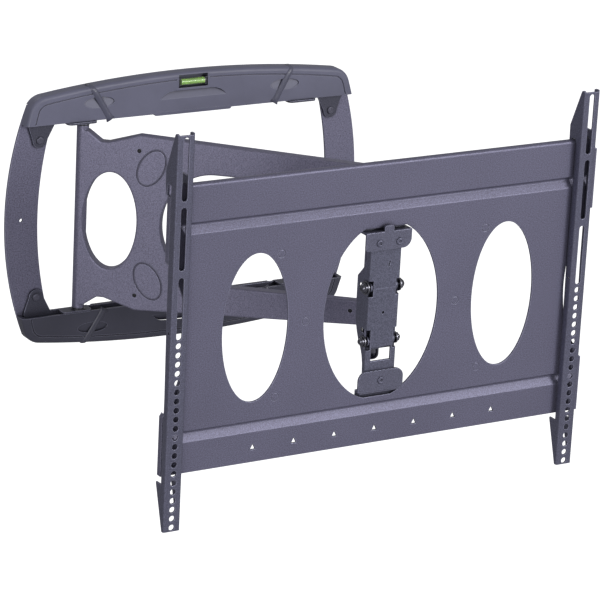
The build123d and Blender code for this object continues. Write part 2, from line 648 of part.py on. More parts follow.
def cross_bolt(z, ball):
    """A bolt along X with a flanged ball head on the left."""
    spot = Pos(PLATE_X, -(FACE_DEPTH + TILT_FRONT), z) * Rot(0, 90, 0)
    bolt = Pos(0, 0, 1.6) * Cylinder(3.0, 2 * (HEAD_HALF_X + 3.2))
    bolt += Pos(0, 0, -HEAD_HALF_X - 1.75) * extrude(Circle(ball + 0.9), -1.6)
    half = Pos(0, 0, -HEAD_HALF_X - 1.8 - ball) * Box(20, 20, 2 * ball)
    bolt += Pos(0, 0, -HEAD_HALF_X - 2.6) * Sphere(ball) & half
    return spot * bolt


def bolt_nut(z, ball):
    """Domed nut on the right end of a cross bolt."""
    spot = Pos(PLATE_X, -(FACE_DEPTH + TILT_FRONT), z) * Rot(0, 90, 0)
    nut = Pos(0, 0, HEAD_HALF_X + 1.75) * extrude(RegularPolygon(ball + 1.1, 6), 2.6)
    half = Pos(0, 0, HEAD_HALF_X + 3.0 + ball) * Box(20, 20, 2 * ball)
    nut = nut + (Pos(0, 0, HEAD_HALF_X + 3.2) * Sphere(ball) & half)
    return spot * (nut - Pos(0, 0, HEAD_HALF_X + 2) * Cylinder(3.02, 6.4))


def bolt_washers(z, radius):
    """Washers either side of the channel."""
    spot = Pos(PLATE_X, -(FACE_DEPTH + TILT_FRONT), z) * Rot(0, 90, 0)
    both = []
    for sign in (-1, 1):
        disc = Pos(0, 0, sign * (HEAD_HALF_X + 0.93)) * (Cylinder(radius, 1.5) - Cylinder(3.06, 3))
        both.append(spot * disc)
    return both


def tilt_head():
    save(tilt_channel(), "tilt_channel")
    save(hook_plate(), "hook_plate")
    save(latch_plate(), "latch_plate")
    head_screws()


# ---- television plate and rails --------------------------------------------------------------


def plate_section():
    """Section of the plate: one sheet with two pressed grooves and a folded upper edge."""
    rows = [(0.0, PLATE_TOP_Z)]
    for high, floor_high, floor_low, low in (GROOVE_TOP, GROOVE_LOW):
        rows += [(0.0, high), (-GROOVE_DEPTH, floor_high), (-GROOVE_DEPTH, floor_low), (0.0, low)]
    rows.append((0.0, PLATE_LOW_Z))
    rear = [(forward - SHEET_T, z) for forward, z in reversed(rows[1:])]
    high_inner = [(-SHEET_T, PLATE_TOP_Z - SHEET_T), (-6, PLATE_TOP_Z - SHEET_T), (-6, PLATE_TOP_Z)]
    section = make_face(Polyline(*at_front(rows + rear + high_inner), close=True))
    edge = [v for v in section.vertices() if abs(v.X - FACE_DEPTH) < 0.01 and v.Y > 160]
    section = fillet(edge, 3.5)
    bends = [v for v in section.vertices() if 100 < abs(v.Y) < 125]
    return fillet(bends, 1.1)


def plate_windows():
    """Openings of the plate, drawn in X and Z about the plate's middle."""
    middle = Ellipse(*MID_OVAL) & Pos(0, (MID_TOP_Z + MID_LOW_Z) / 2) * Rectangle(200, MID_TOP_Z - MID_LOW_Z)
    shapes = middle
    for sign in (-1, 1):
        shapes += Pos(sign * SIDE_OVAL_X, 0) * Ellipse(*SIDE_OVAL)
        shapes += Pos(sign * END_OVAL_X, 0) * Ellipse(*SIDE_OVAL)
    for step in range(-3, 4):
        triangle = Polyline((-3.3, -3.0), (3.3, -3.0), (0, 3.8), close=True)
        shapes += Pos(step * TRIANGLE_PITCH, TRIANGLE_Z) * make_face(triangle)
    return shapes


def plate_ends():
    """Outline cutters at the plate's two ends, which leave four narrow tabs."""
    cuts = []
    for sign in (-1, 1):
        near, far = PLATE_END_X, PLATE_END_X + 20
        top = [(near, 175), (near, END_TOP_Z + 2), (near + 2.5, END_TOP_Z), (far, END_TOP_Z), (far, 175)]
        middle = [(near, 78.5), (near + 5.5, 85), (far, 85), (far, -87), (near + 5, -87), (near, -79)]
        for points in (top, middle):
            cuts.append(make_face(Polyline(*[(sign * x, z) for x, z in points], close=True)))
    return cuts


def tv_plate():
    plane = Plane(origin=(PLATE_X + PLATE_LEFT_X, 0, 0), x_dir=(0, -1, 0), z_dir=(-1, 0, 0))
    plate = extrude(plane * plate_section(), -(PLATE_RIGHT_X - PLATE_LEFT_X))
    for end, step in ((PLATE_LEFT_X, SHEET_T), (PLATE_RIGHT_X, -SHEET_T)):
        near, far = sorted((PLATE_X + end, PLATE_X + end + step))
        plate += block(near, far, FACE_DEPTH - 7, FACE_DEPTH, 80, PLATE_TOP_Z - SHEET_T)
        plate += block(near, far, FACE_DEPTH - 7, FACE_DEPTH, PLATE_LOW_Z, -80)
    plate -= front(Pos(PLATE_X, 0) * plate_windows(), FACE_DEPTH - 20, FACE_DEPTH + 10)
    for cut in plate_ends():
        plate -= front(Pos(PLATE_X, 0) * cut, FACE_DEPTH - 20, FACE_DEPTH + 10)
    for x, z in ((-126, 78), (-126, -80), (-93, 0), (126, 78), (126, -80), (93, 0)):
        dimple = Circle(4.6) - Circle(3.9)
        plate -= front(Pos(PLATE_X + x, z) * dimple, FACE_DEPTH - 0.3, FACE_DEPTH + 2)
    save(plate, "tv_plate")


def rail(x):
    """Upright rail: a channel whose flanges hook over the plate above and end in a heel below."""
    low = [
        (-7.0, 153), (-6.9, 165.2), (RAIL_BACK, 165.2), (RAIL_BACK, 30), (2.6, -60), (2.6, -157.5), (-8.7, -157.5),
        (-8.4, -160), (RAIL_FRONT - 4, RAIL_LOW_Z), (RAIL_FRONT, RAIL_LOW_Z),
    ]  # fmt: skip
    hook = [(HOOK_BACK + 0.5, 163), (HOOK_BACK + 2, 156), (-9, 153)]
    crown = [(RAIL_FRONT, RAIL_TOP_Z - 1.5), (RAIL_FRONT - 1.5, RAIL_TOP_Z)]
    left = [*crown, (RAIL_FRONT - 4.5, RAIL_TOP_Z), (RAIL_FRONT - 6, RAIL_TOP_Z - 1), (HOOK_BACK, 179), *hook, *low]
    right = [*crown, (RAIL_FRONT - 7, RAIL_TOP_Z), (RAIL_FRONT - 8.5, RAIL_TOP_Z - 1), (RAIL_FRONT - 8.5, 177)]
    right += [(RAIL_FRONT - 9.5, 174.5), (HOOK_BACK, 174.5), *hook, *low]
    inside = RAIL_HALF_X - RAIL_T
    body = block(
        x - RAIL_HALF_X, x + RAIL_HALF_X, FACE_DEPTH + RAIL_FRONT - 3.5, FACE_DEPTH + RAIL_FRONT,
        RAIL_LOW_Z, RAIL_TOP_Z - 1.4,
    )  # fmt: skip
    body += side(at_front(left), x - RAIL_HALF_X, x - inside)
    body += side(at_front(right), x + inside, x + RAIL_HALF_X)
    body &= block(x - 12, x + 12, FACE_DEPTH - 30, FACE_DEPTH + 30, RAIL_LOW_Z, RAIL_TOP_Z)
    bends = []
    for edge in body.edges().filter_by(Axis.Z):
        if edge.center().Y < -(FACE_DEPTH + RAIL_FRONT - 0.01) and abs(abs(edge.center().X - x) - RAIL_HALF_X) < 0.01:
            bends.append(edge)
    body = fillet(bends, 2.3)
    body -= block(x - inside, x + inside, FACE_DEPTH - 40, FACE_DEPTH + RAIL_FRONT - RAIL_T, -260, 260)
    cuts = []
    for i in range(HOLE_COUNT):
        cuts.append(Pos(x, FIRST_HOLE_Z - i * HOLE_PITCH) * Circle(HOLE_R))
    for z in SLOT_Z:
        cuts.append(Pos(x, z) * SlotOverall(SLOT_LENGTH, 2 * HOLE_R, rotation=90))
    for cut in cuts:
        body -= front(cut, FACE_DEPTH + 5, FACE_DEPTH + 15)
    side_hole = Pos(x, -(FACE_DEPTH + 6), 9.6) * Rot(0, 90, 0) * Cylinder(1.6, 40)
    return body - side_hole


def main():
    os.makedirs("parts", exist_ok=True)
    wall_ring()
    spirit_level()
    wall_arm()
    front_arm()
    swivel()
    tilt_head()
    tv_plate()
    save(rail(PLATE_X + LEFT_RAIL_X), "left_rail")
    save(rail(PLATE_X + RIGHT_RAIL_X), "right_rail")


main()
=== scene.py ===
from math import cos, pi, radians, sin

import bmesh
import bpy
from mathutils import Matrix, Vector


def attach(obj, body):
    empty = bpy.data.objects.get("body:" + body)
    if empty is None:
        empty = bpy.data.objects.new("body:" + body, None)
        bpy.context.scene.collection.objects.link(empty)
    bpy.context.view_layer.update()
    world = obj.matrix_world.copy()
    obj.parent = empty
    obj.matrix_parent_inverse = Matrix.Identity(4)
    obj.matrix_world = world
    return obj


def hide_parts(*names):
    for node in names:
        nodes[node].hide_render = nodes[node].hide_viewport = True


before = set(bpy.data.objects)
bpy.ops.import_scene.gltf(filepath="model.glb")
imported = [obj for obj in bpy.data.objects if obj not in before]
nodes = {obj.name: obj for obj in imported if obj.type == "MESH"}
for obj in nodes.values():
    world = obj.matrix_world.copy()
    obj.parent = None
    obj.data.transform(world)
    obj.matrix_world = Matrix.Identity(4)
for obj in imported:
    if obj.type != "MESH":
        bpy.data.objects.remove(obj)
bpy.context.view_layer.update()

bpy.context.view_layer.update()
scene = bpy.context.scene

# Camera: a long lens on a stand to the left of the mount, above it and tipped a little to the right.
# It looks straight at the middle of the opened mount.
azimuth, elevation, roll = radians(31.1), radians(18.4), radians(2.98)
stand = Vector((-1.7814, -3.2276, 1.1111))
back = Vector((-sin(azimuth) * cos(elevation), -cos(azimuth) * cos(elevation), sin(elevation)))
level = (-back).cross(Vector((0, 0, 1))).normalized()
rise = level.cross(-back)
right = cos(roll) * level + sin(roll) * rise
up = cos(roll) * rise - sin(roll) * level
camera_data = bpy.data.cameras.new("studio_camera")
camera_data.lens = 197.9
camera_data.sensor_width = 36
camera_data.clip_end = 20
camera = bpy.data.objects.new("studio_camera", camera_data)
scene.collection.objects.link(camera)
camera.matrix_world = Matrix((
    (right.x, up.x, back.x, stand.x),
    (right.y, up.y, back.y, stand.y),
    (right.z, up.z, back.z, stand.z),
    (0, 0, 0, 1),
))
scene.camera = camera

# Studio: a wide sheet of white paper lies well below the mount, which hangs in the air as it does on
# a wall. Soft boxes light it from the front, to the right, to the left and low down, and a small one
# from behind. Paper and room look white, but give the mount only the light of a plain grey room.
paper_side, paper_near, paper_far, paper_height = 9, -6, 16, -0.6
room_light = 0.33
middle_of_mount = Vector((0, -0.25, 0))
paper_mesh = bpy.data.meshes.new("studio_paper")
paper_mesh.from_pydata(
    [
        (-paper_side, paper_near, paper_height),
        (paper_side, paper_near, paper_height),
        (paper_side, paper_far, paper_height),
        (-paper_side, paper_far, paper_height),
    ],
    [],
    [(0, 1, 2, 3)],
)
paper = bpy.data.objects.new("studio_paper", paper_mesh)
scene.collection.objects.link(paper)
paper_white = bpy.data.materials.new("paper_white")
paper_white.use_nodes = True
paper_shader = paper_white.node_tree.nodes["Principled BSDF"]
paper_shader.inputs["Base Color"].default_value = (0.45, 0.45, 0.47, 1)
paper_shader.inputs["Roughness"].default_value = 0.9
paper_shader.inputs["Emission Color"].default_value = (1, 1, 1, 1)
glow = paper_white.node_tree.nodes.new("ShaderNodeLightPath")
paper_white.node_tree.links.new(glow.outputs["Is Camera Ray"],
                                paper_shader.inputs["Emission Strength"])
paper_mesh.materials.append(paper_white)
for name, place, size, power in (
    ("right_softbox", (1.7, -3.3, 1.15), 1.1, 53),
    ("left_softbox", (-2.0, -3.1, 0.75), 0.9, 24),
    ("low_softbox", (-2.2, -2.2, -0.35), 0.7, 9),
    ("back_softbox", (-0.4, 1.9, 2.2), 0.5, 5),
):
    light_data = bpy.data.lights.new(name, "AREA")
    light_data.size = size
    light_data.energy = power
    light = bpy.data.objects.new(name, light_data)
    scene.collection.objects.link(light)
    light.location = place
    light.rotation_euler = (middle_of_mount - Vector(place)).to_track_quat("-Z", "Y").to_euler()
world = bpy.data.worlds.new("studio_world")
scene.world = world
scene.view_settings.view_transform = "Standard"
world.use_nodes = True
room = world.node_tree
room.nodes["Background"].inputs["Color"].default_value = (1, 1, 1, 1)
seen = room.nodes.new("ShaderNodeLightPath")
brightness = room.nodes.new("ShaderNodeMapRange")
brightness.inputs["To Min"].default_value = room_light
room.links.new(seen.outputs["Is Camera Ray"], brightness.inputs["Value"])
room.links.new(brightness.outputs[0], room.nodes["Background"].inputs["Strength"])

# Side strips of the wall ring: two bowed flats of sheet steel, laser cut, then powder coated in
# graphite. Each is riveted to both crossbars and has one small screw hole half way up.


def add_node(tree, kind, **values):
    """Put a node in a tree and set its inputs by name or number."""
    node = tree.nodes.new(kind)
    for key, value in values.items():
        if key.startswith("in_"):
            name = key[3:]
            socket = node.inputs[int(name)] if name.isdigit() else node.inputs[name.replace("_", " ")]
            if isinstance(value, bpy.types.NodeSocket):
                tree.links.new(value, socket)
            else:
                socket.default_value = value
        else:
            setattr(node, key, value)
    return node


def skin_group(name, sockets_in, sockets_out):
    """Start a shader node group and return it with its input and output nodes."""
    group = bpy.data.node_groups.new(name, "ShaderNodeTree")
    for title, kind, value in sockets_in:
        socket = group.interface.new_socket(title, in_out="INPUT", socket_type=kind)
        socket.default_value = value
    for title, kind in sockets_out:
        group.interface.new_socket(title, in_out="OUTPUT", socket_type=kind)
    return group, group.nodes.new("NodeGroupInput"), group.nodes.new("NodeGroupOutput")


# The rounded edges that every pressed or moulded piece has, with a mask of outer edges for a painted
# highlight along the bends together with light wear, and a mask of creases for painted shade.
edge_group, edge_in, edge_out = skin_group(
    "rounded_edges",
    [("Radius", "NodeSocketFloat", 0.0008), ("Patchiness", "NodeSocketFloat", 0.5)],
    [("Wear and highlight", "NodeSocketFloat"), ("Crease shade", "NodeSocketFloat"), ("Rounded", "NodeSocketVector")],
)
place = add_node(edge_group, "ShaderNodeTexCoord")
face = add_node(edge_group, "ShaderNodeNewGeometry")
bend = add_node(edge_group, "ShaderNodeBevel", samples=6, in_Radius=edge_in.outputs["Radius"])
closeness = add_node(edge_group, "ShaderNodeVectorMath", operation="DOT_PRODUCT",
                     in_0=bend.outputs[0], in_1=face.outputs["Normal"])
edge_band = add_node(edge_group, "ShaderNodeMapRange", in_0=closeness.outputs["Value"],
                in_1=0.998, in_2=0.93, in_3=0.0, in_4=1.0)
# Ambient occlusion marks creases and corners, where the finishes paint shade.
corner = add_node(edge_group, "ShaderNodeAmbientOcclusion", samples=8, in_Distance=0.009)
crease_shade = add_node(edge_group, "ShaderNodeMapRange", in_0=corner.outputs["AO"],
                  in_1=0.35, in_2=0.85, in_3=0.0, in_4=1.0)
proud = add_node(edge_group, "ShaderNodeMapRange", in_0=corner.outputs["AO"],
                 in_1=0.62, in_2=0.9, in_3=0.0, in_4=1.0)
patches = add_node(edge_group, "ShaderNodeTexNoise", in_Vector=place.outputs["Object"], in_Scale=55.0,
                   in_Detail=4.0)
uneven = add_node(edge_group, "ShaderNodeMapRange", in_0=patches.outputs[0],
                  in_1=0.35, in_2=0.65, in_3=0.4, in_4=1.0)
full = add_node(edge_group, "ShaderNodeMix", data_type="FLOAT", in_0=edge_in.outputs["Patchiness"],
                in_2=1.0, in_3=uneven.outputs[0])
# Outer edges, kept off hollow ones: where the finishes paint a highlight along the bends, mixed with light
# wear.
wear_and_highlight = add_node(edge_group, "ShaderNodeMath", operation="MULTIPLY",
               in_0=edge_band.outputs[0], in_1=full.outputs[0])
wear_and_highlight = add_node(edge_group, "ShaderNodeMath", operation="MULTIPLY",
               in_0=wear_and_highlight.outputs[0], in_1=proud.outputs[0])
edge_group.links.new(wear_and_highlight.outputs[0], edge_out.inputs["Wear and highlight"])
edge_group.links.new(crease_shade.outputs[0], edge_out.inputs["Crease shade"])
edge_group.links.new(bend.outputs[0], edge_out.inputs["Rounded"])

# The fine orange-peel texture and speckle of powder coat, with painted shade in creases and a painted
# highlight, mixed with light wear, on outer edges.
coat_group, coat_in, coat_out = skin_group(
    "powder_coat",
    [
        ("Paint", "NodeSocketColor", (0.1, 0.1, 0.13, 1)),
        ("Edge tint", "NodeSocketColor", (0.3, 0.3, 0.36, 1)),
        ("Wear and highlight amount", "NodeSocketFloat", 0.5),
        ("Grain", "NodeSocketFloat", 900.0),
        ("Depth", "NodeSocketFloat", 0.25),
        ("Gloss", "NodeSocketFloat", 0.36),
    ],
    [("Color", "NodeSocketColor"), ("Roughness", "NodeSocketFloat"), ("Normal", "NodeSocketVector")],
)
place = add_node(coat_group, "ShaderNodeTexCoord")
edges = add_node(coat_group, "ShaderNodeGroup", node_tree=edge_group)
edges.inputs["Radius"].default_value = 0.0013
edges.inputs["Patchiness"].default_value = 0.35
speckle = add_node(coat_group, "ShaderNodeTexNoise", in_Vector=place.outputs["Object"],
                   in_Scale=coat_in.outputs["Grain"], in_Detail=2.0, in_Roughness=0.6)
cloud = add_node(coat_group, "ShaderNodeTexNoise", in_Vector=place.outputs["Object"],
                 in_Scale=9.0, in_Detail=3.0)
fleck = add_node(coat_group, "ShaderNodeMapRange", in_0=speckle.outputs[0],
                 in_1=0.3, in_2=0.7, in_3=0.62, in_4=1.38)
drift = add_node(coat_group, "ShaderNodeMapRange", in_0=cloud.outputs[0],
                 in_1=0.3, in_2=0.7, in_3=0.95, in_4=1.05)
shade = add_node(coat_group, "ShaderNodeMath", operation="MULTIPLY",
                 in_0=fleck.outputs[0], in_1=drift.outputs[0])
painted = add_node(coat_group, "ShaderNodeMix", data_type="RGBA", blend_type="MULTIPLY", in_0=1.0,
                   in_6=coat_in.outputs["Paint"], in_7=shade.outputs[0])
# Painted shade: the paint is darkened in creases and corners.
shadow = add_node(coat_group, "ShaderNodeMapRange", in_0=edges.outputs["Crease shade"], in_1=0.0, in_2=1.0,
                  in_3=0.26, in_4=1.0)
painted = add_node(coat_group, "ShaderNodeMix", data_type="RGBA", blend_type="MULTIPLY", in_0=1.0,
                   in_6=painted.outputs[2], in_7=shadow.outputs[0])
# Painted highlight with light wear: outer edges are mixed towards the lighter edge tint.
strength = add_node(coat_group, "ShaderNodeMath", operation="MULTIPLY",
                    in_0=edges.outputs["Wear and highlight"], in_1=coat_in.outputs["Wear and highlight amount"])
wear_and_highlight_tinted = add_node(coat_group, "ShaderNodeMix", data_type="RGBA", in_0=strength.outputs[0],
                  in_6=painted.outputs[2], in_7=coat_in.outputs["Edge tint"])
peel = add_node(coat_group, "ShaderNodeBump", in_Strength=coat_in.outputs["Depth"], in_Distance=0.0003,
                in_Height=speckle.outputs[0], in_Normal=edges.outputs["Rounded"])
sheen = add_node(coat_group, "ShaderNodeMath", operation="MULTIPLY_ADD",
                 in_0=speckle.outputs[0], in_1=0.16, in_2=coat_in.outputs["Gloss"])
coat_group.links.new(wear_and_highlight_tinted.outputs[2], coat_out.inputs["Color"])
coat_group.links.new(sheen.outputs[0], coat_out.inputs["Roughness"])
coat_group.links.new(peel.outputs[0], coat_out.inputs["Normal"])


def graphite_coat(name, paint, edge=(0.40, 0.40, 0.54), wear_and_highlight=0.8, grain=900.0, depth=0.25, gloss=0.37):
    """Graphite powder coat in one shade, with painted shade in creases and a painted highlight with light
    wear on outer edges.
    """
    material = bpy.data.materials.new(name)
    material.use_nodes = True
    tree = material.node_tree
    shader = tree.nodes["Principled BSDF"]
    coat = add_node(tree, "ShaderNodeGroup", node_tree=coat_group)
    coat.inputs["Paint"].default_value = (*paint, 1)
    coat.inputs["Edge tint"].default_value = (*edge, 1)
    coat.inputs["Wear and highlight amount"].default_value = wear_and_highlight
    coat.inputs["Grain"].default_value = grain
    coat.inputs["Depth"].default_value = depth
    coat.inputs["Gloss"].default_value = gloss
    shader.inputs["Metallic"].default_value = 0.45
    tree.links.new(coat.outputs["Color"], shader.inputs["Base Color"])
    tree.links.new(coat.outputs["Roughness"], shader.inputs["Roughness"])
    tree.links.new(coat.outputs["Normal"], shader.inputs["Normal"])
    return material


def finish_nodes(material, *names):
    """Give CAD pieces a finish."""
    for name in names:
        for slot in nodes[name].material_slots:
            slot.material = material


strip_coat = graphite_coat("strip_coat", (0.212, 0.205, 0.296), grain=650.0, depth=0.5)
finish_nodes(strip_coat, "left_side_strip", "right_side_strip")

# Crossbars: folded steel rails at the top and bottom of the ring, hidden behind the covers but for
# their rivet tabs and the drilled tabs that hold the arm's hinge pin.
crossbar_coat = graphite_coat("crossbar_coat", (0.090, 0.090, 0.125))
finish_nodes(crossbar_coat, "top_crossbar", "bottom_crossbar")

# Rivets: four steel buttons that join the strips to the crossbars, painted over with the ring.
rivet_coat = graphite_coat("rivet_coat", (0.12, 0.118, 0.16), wear_and_highlight=0.8, gloss=0.33)
finish_nodes(rivet_coat, "corner_rivets")

# Covers: injection moulded shells in graphite plastic with a fine spark-eroded grain. They clip over
# the crossbars and hide the wall screws.
mould_group, mould_in, mould_out = skin_group(
    "moulded_plastic",
    [
        ("Plastic", "NodeSocketColor", (0.1, 0.1, 0.13, 1)),
        ("Grain", "NodeSocketFloat", 2600.0),
        ("Depth", "NodeSocketFloat", 0.2),
        ("Gloss", "NodeSocketFloat", 0.42),
    ],
    [("Color", "NodeSocketColor"), ("Roughness", "NodeSocketFloat"), ("Normal", "NodeSocketVector")],
)
place = add_node(mould_group, "ShaderNodeTexCoord")
edges = add_node(mould_group, "ShaderNodeGroup", node_tree=edge_group)
edges.inputs["Radius"].default_value = 0.0012
edges.inputs["Patchiness"].default_value = 0.2
pits = add_node(mould_group, "ShaderNodeTexVoronoi", in_Vector=place.outputs["Object"],
                in_Scale=mould_in.outputs["Grain"])
flow = add_node(mould_group, "ShaderNodeTexNoise", in_Vector=place.outputs["Object"],
                in_Scale=26.0, in_Detail=3.0)
tone = add_node(mould_group, "ShaderNodeMapRange", in_0=flow.outputs[0],
                in_1=0.3, in_2=0.7, in_3=0.93, in_4=1.07)
tinted = add_node(mould_group, "ShaderNodeMix", data_type="RGBA", blend_type="MULTIPLY", in_0=1.0,
                  in_6=mould_in.outputs["Plastic"], in_7=tone.outputs[0])
# Painted shade: the plastic is darkened in creases and corners.
shadow = add_node(mould_group, "ShaderNodeMapRange", in_0=edges.outputs["Crease shade"], in_1=0.0, in_2=1.0,
                  in_3=0.40, in_4=1.0)
tinted = add_node(mould_group, "ShaderNodeMix", data_type="RGBA", blend_type="MULTIPLY", in_0=1.0,
                  in_6=tinted.outputs[2], in_7=shadow.outputs[0])
# Painted highlight with light wear: outer edges are mixed towards a pale lilac.
worn_and_lit = add_node(mould_group, "ShaderNodeMath", operation="MULTIPLY", in_0=edges.outputs["Wear and highlight"], in_1=0.6)
wear_and_highlight_tinted = add_node(mould_group, "ShaderNodeMix", data_type="RGBA", in_0=worn_and_lit.outputs[0],
                  in_6=tinted.outputs[2], in_7=(0.34, 0.34, 0.46, 1))
grained = add_node(mould_group, "ShaderNodeBump", in_Strength=mould_in.outputs["Depth"], in_Distance=0.0002,
                   in_Height=pits.outputs["Distance"], in_Normal=edges.outputs["Rounded"])
dull = add_node(mould_group, "ShaderNodeMath", operation="MULTIPLY_ADD",
                in_0=flow.outputs[0], in_1=0.12, in_2=mould_in.outputs["Gloss"])
mould_group.links.new(wear_and_highlight_tinted.outputs[2], mould_out.inputs["Color"])
mould_group.links.new(dull.outputs[0], mould_out.inputs["Roughness"])
mould_group.links.new(grained.outputs[0], mould_out.inputs["Normal"])


def moulding(name, plastic, grain=2600.0, depth=0.2, gloss=0.37):
    """Moulded plastic in one shade, with painted shade in creases and a painted highlight with light wear
    on outer edges.
    """
    material = bpy.data.materials.new(name)
    material.use_nodes = True
    tree = material.node_tree
    shader = tree.nodes["Principled BSDF"]
    mould = add_node(tree, "ShaderNodeGroup", node_tree=mould_group)
    mould.inputs["Plastic"].default_value = (*plastic, 1)
    mould.inputs["Grain"].default_value = grain
    mould.inputs["Depth"].default_value = depth
    mould.inputs["Gloss"].default_value = gloss
    tree.links.new(mould.outputs["Color"], shader.inputs["Base Color"])
    tree.links.new(mould.outputs["Roughness"], shader.inputs["Roughness"])
    tree.links.new(mould.outputs["Normal"], shader.inputs["Normal"])
    return material


cover_plastic = moulding("cover_plastic", (0.150, 0.151, 0.222))
finish_nodes(cover_plastic, "top_cover")
# Painted shade: the bottom cover is the same plastic as the top one, and this darker copy paints the shade
# on its downward-facing front.
lower_cover_shaded_plastic = moulding("lower_cover_shaded_plastic", (0.062, 0.062, 0.090), gloss=0.30)
finish_nodes(lower_cover_shaded_plastic, "bottom_cover")

# Cover clips: thin moulded straps that snap over each cover and lock it to its crossbar. Each is half
# round, leans outwards as it climbs, and widens to a foot at its lower end.
clip_half_width, clip_height, clip_sunk, foot_flare = 0.0040, 0.0021, 0.0006, 1.45
clip_plastic = moulding("clip_plastic", (0.110, 0.111, 0.162), gloss=0.24)
# Painted shade: the lower clips are the same plastic as the upper ones, darkened like the bottom cover.
lower_clip_shaded_plastic = moulding("lower_clip_shaded_plastic", (0.075, 0.075, 0.105), gloss=0.22)


def strap(route, half_width, height):
    """A half-round strap along a route of points, each with its outward direction."""
    mesh = bmesh.new()
    steps = 9
    last = len(route) - 1
    rings = []
    for i, (point, outward) in enumerate(route):
        before = route[max(i - 1, 0)][0]
        after = route[min(i + 1, last)][0]
        along = (after - before).normalized()
        across = along.cross(outward).normalized()
        wide = half_width * (foot_flare if i == last else 1.0)
        ring = []
        for k in range(steps):
            turn = pi * k / (steps - 1)
            sideways = across * wide * cos(turn)
            ring.append(mesh.verts.new(point + sideways + outward * (height * sin(turn) - clip_sunk)))
        rings.append(ring)
    for one, two in zip(rings, rings[1:]):
        for k in range(steps - 1):
            mesh.faces.new((one[k], one[k + 1], two[k + 1], two[k]))
        mesh.faces.new((one[steps - 1], one[0], two[0], two[steps - 1]))
    mesh.faces.new(rings[0])
    mesh.faces.new(rings[-1])
    bmesh.ops.recalc_face_normals(mesh, faces=mesh.faces)
    return mesh


def strap_route(sign, mirror):
    """Route of one strap, from the back of the crown down the front to its foot, in metres."""
    crest, ring_middle, clip_offset, clip_slant, slant_from = 0.1534, -0.0016, 0.1035, 0.589, 0.108
    # Depth from the wall, drop below the crest, and how far the surface leans back, in degrees.
    profile = [(0.0045, 0.0, 90), (0.0085, 0.0, 90), (0.0112, 0.0, 86), (0.0133, -0.0008, 66),
               (0.0149, -0.0024, 45), (0.0157, -0.0046, 20), (0.0161, -0.009, 4), (0.0165, -0.014, 4),
               (0.0170, -0.022, 4), (0.0175, -0.030, 4), (0.0179, -0.0365, 4), (0.0182, -0.0402, 4)]
    points = []
    for depth, drop, lean in profile:
        z = crest + drop
        x = ring_middle + sign * (clip_offset + clip_slant * (z - slant_from))
        outward = Vector((0, -cos(radians(lean)), mirror * sin(radians(lean))))
        points.append((Vector((x, -depth, mirror * z)), outward))
    return points


for node, mirror, plastic in (
    ("top_cover_clips", 1, clip_plastic),
    ("bottom_cover_clips", -1, lower_clip_shaded_plastic),
):
    straps = bmesh.new()
    for sign in (-1, 1):
        rib = strap(strap_route(sign, mirror), clip_half_width, clip_height)
        part_mesh = bpy.data.meshes.new("one_strap")
        rib.to_mesh(part_mesh)
        straps.from_mesh(part_mesh)
        rib.free()
        bpy.data.meshes.remove(part_mesh)
    strap_mesh = bpy.data.meshes.new(node + "_ribs")
    straps.to_mesh(strap_mesh)
    straps.free()
    for polygon in strap_mesh.polygons:
        polygon.use_smooth = True
    strap_mesh.materials.append(plastic)
    ribs = bpy.data.objects.new(node + "_ribs", strap_mesh)
    scene.collection.objects.link(ribs)
    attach(ribs, "wall_ring")
    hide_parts(node)

# Spirit level: a clear acrylic tube with green spirit and a bubble, held by two small cradles in the
# window of the top cover.
vial_clear = bpy.data.materials.new("vial_clear")
vial_clear.use_nodes = True
vial_shader = vial_clear.node_tree.nodes["Principled BSDF"]
vial_shader.inputs["Base Color"].default_value = (0.93, 1.0, 0.86, 1)
vial_shader.inputs["Roughness"].default_value = 0.22
vial_shader.inputs["IOR"].default_value = 1.49
vial_shader.inputs["Transmission Weight"].default_value = 0.9
haze = add_node(vial_clear.node_tree, "ShaderNodeTexNoise", in_Scale=420.0, in_Detail=2.0)
film = add_node(vial_clear.node_tree, "ShaderNodeBump", in_Strength=0.04, in_Distance=0.0002,
                in_Height=haze.outputs[0])
vial_clear.node_tree.links.new(film.outputs[0], vial_shader.inputs["Normal"])
finish_nodes(vial_clear, "level_vial")

spirit_green = bpy.data.materials.new("spirit_green")
spirit_green.use_nodes = True
tree = spirit_green.node_tree
spirit_shader = tree.nodes["Principled BSDF"]
spirit_shader.inputs["Roughness"].default_value = 0.42
depths = add_node(tree, "ShaderNodeTexCoord")
swirl = add_node(tree, "ShaderNodeTexNoise", in_Vector=depths.outputs["Object"],
                 in_Scale=160.0, in_Detail=2.0)
spirit = add_node(tree, "ShaderNodeMix", data_type="RGBA", in_0=swirl.outputs[0],
                  in_6=(0.30, 0.62, 0.03, 1), in_7=(0.50, 0.86, 0.09, 1))
tree.links.new(spirit.outputs[2], spirit_shader.inputs["Base Color"])
# Painted glow: a faint green emission brightens the spirit, which is no lamp.
spirit_shader.inputs["Emission Color"].default_value = (0.4, 0.8, 0.05, 1)
spirit_shader.inputs["Emission Strength"].default_value = 0.12
finish_nodes(spirit_green, "level_fluid")

cradle_plastic = moulding("cradle_plastic", (0.045, 0.046, 0.06), gloss=0.35)
finish_nodes(cradle_plastic, "level_holders")

# Wall hinge: a zinc-plated pin through the tabs of both crossbars, with plain washers, and black
# nylon bushes pressed into the arm's barrel.


